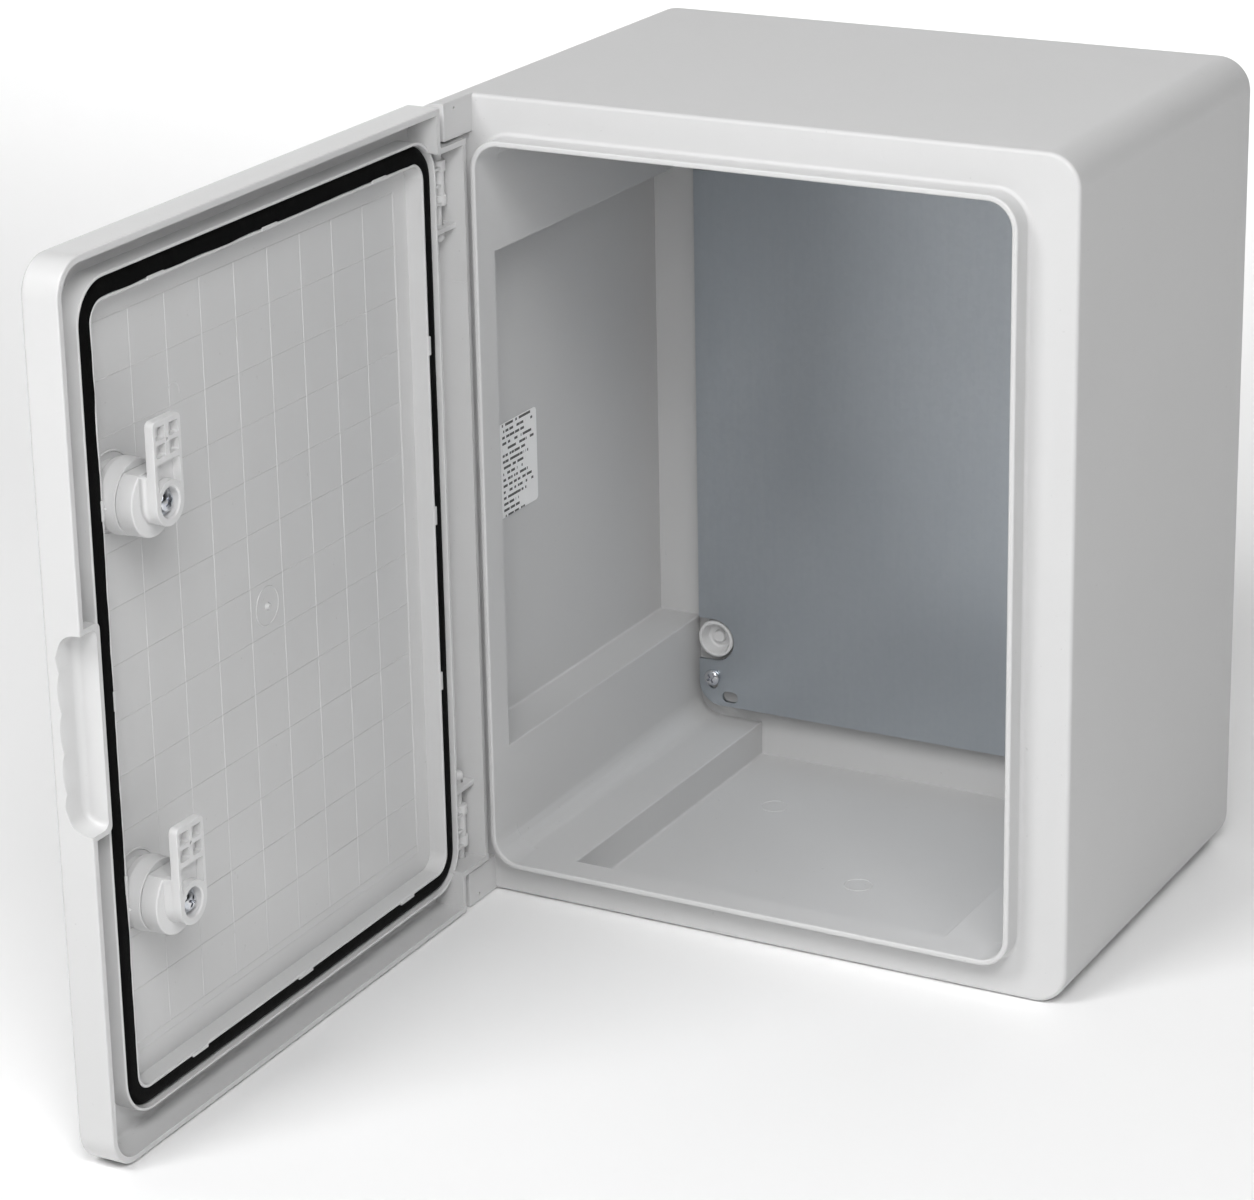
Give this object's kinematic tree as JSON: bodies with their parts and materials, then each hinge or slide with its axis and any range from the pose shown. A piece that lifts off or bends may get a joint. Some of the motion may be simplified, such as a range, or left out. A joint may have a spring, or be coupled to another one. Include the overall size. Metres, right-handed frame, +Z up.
{
  "type": "fire alarm control panel enclosure",
  "caption": "Wall-mounting plastic control panel enclosure with a gasketed hinged door, quarter-turn cam locks, hinge pins that slide and a steel mounting plate.",
  "frame": {"origin": "centre of the flat underside, at the level of the surface it stands on", "axes": "+Y runs from the opening to the wall behind, +Z up, +X to the right of someone facing the opening; the hinges are on the -X side"},
  "size_m": [0.32, 0.5395, 0.4],
  "materials": {
    "body_plastic": "fine moulded texture",
    "door_plastic": "smooth moulded",
    "fitting_plastic": "smooth moulded",
    "rubber": "foamed seal",
    "galvanised_steel": "galvanised sheet",
    "zinc_steel": "bright zinc plated",
    "label_film": "printed film"
  },
  "bodies": {
    "enclosure": {"enclosure_body": "body_plastic", "mounting_plate": "galvanised_steel", "data_label": "label_film", "plate_screw_1": "zinc_steel", "plate_screw_2": "zinc_steel", "plate_screw_3": "zinc_steel", "plate_screw_4": "zinc_steel", "wall_plug_1": "fitting_plastic", "wall_plug_2": "fitting_plastic", "wall_plug_3": "fitting_plastic", "wall_plug_4": "fitting_plastic"},
    "door": {"door_shell": "door_plastic", "door_gasket": "rubber", "upper_lock_housing": "fitting_plastic", "upper_lock_seal": "rubber", "upper_lock_nut": "fitting_plastic", "lower_lock_housing": "fitting_plastic", "lower_lock_seal": "rubber", "lower_lock_nut": "fitting_plastic"},
    "upper_lock": {"upper_lock_rotor": "fitting_plastic", "upper_lock_cam": "fitting_plastic", "upper_cam_washer": "zinc_steel", "upper_cam_screw": "zinc_steel"},
    "upper_pin": {"upper_hinge_pin": "fitting_plastic"},
    "lower_lock": {"lower_lock_rotor": "fitting_plastic", "lower_lock_cam": "fitting_plastic", "lower_cam_washer": "zinc_steel", "lower_cam_screw": "zinc_steel"},
    "lower_pin": {"lower_hinge_pin": "fitting_plastic"}
  },
  "joints": [
    {"name": "door_hinge", "type": "hinge", "parent": "enclosure", "child": "door", "pos_m": [-0.1505, -0.1235, 0.2], "axis": [0, 0, -1], "range_deg": [-89.5, 90.5]},
    {"name": "upper_lock_turn", "type": "hinge", "parent": "door", "child": "upper_lock", "pos_m": [-0.14821, -0.38599, 0.289], "axis": [1, 0.0087, 0], "range_deg": [0, 90]},
    {"name": "lower_lock_turn", "type": "hinge", "parent": "door", "child": "lower_lock", "pos_m": [-0.14821, -0.38599, 0.111], "axis": [1, 0.0087, 0], "range_deg": [0, 90]},
    {"name": "upper_pin_slide", "type": "slide", "parent": "door", "child": "upper_pin", "axis": [0, 0, -1], "range_m": [0, 0.0085]},
    {"name": "lower_pin_slide", "type": "slide", "parent": "door", "child": "lower_pin", "axis": [0, 0, 1], "range_m": [0, 0.0085]}
  ]
}
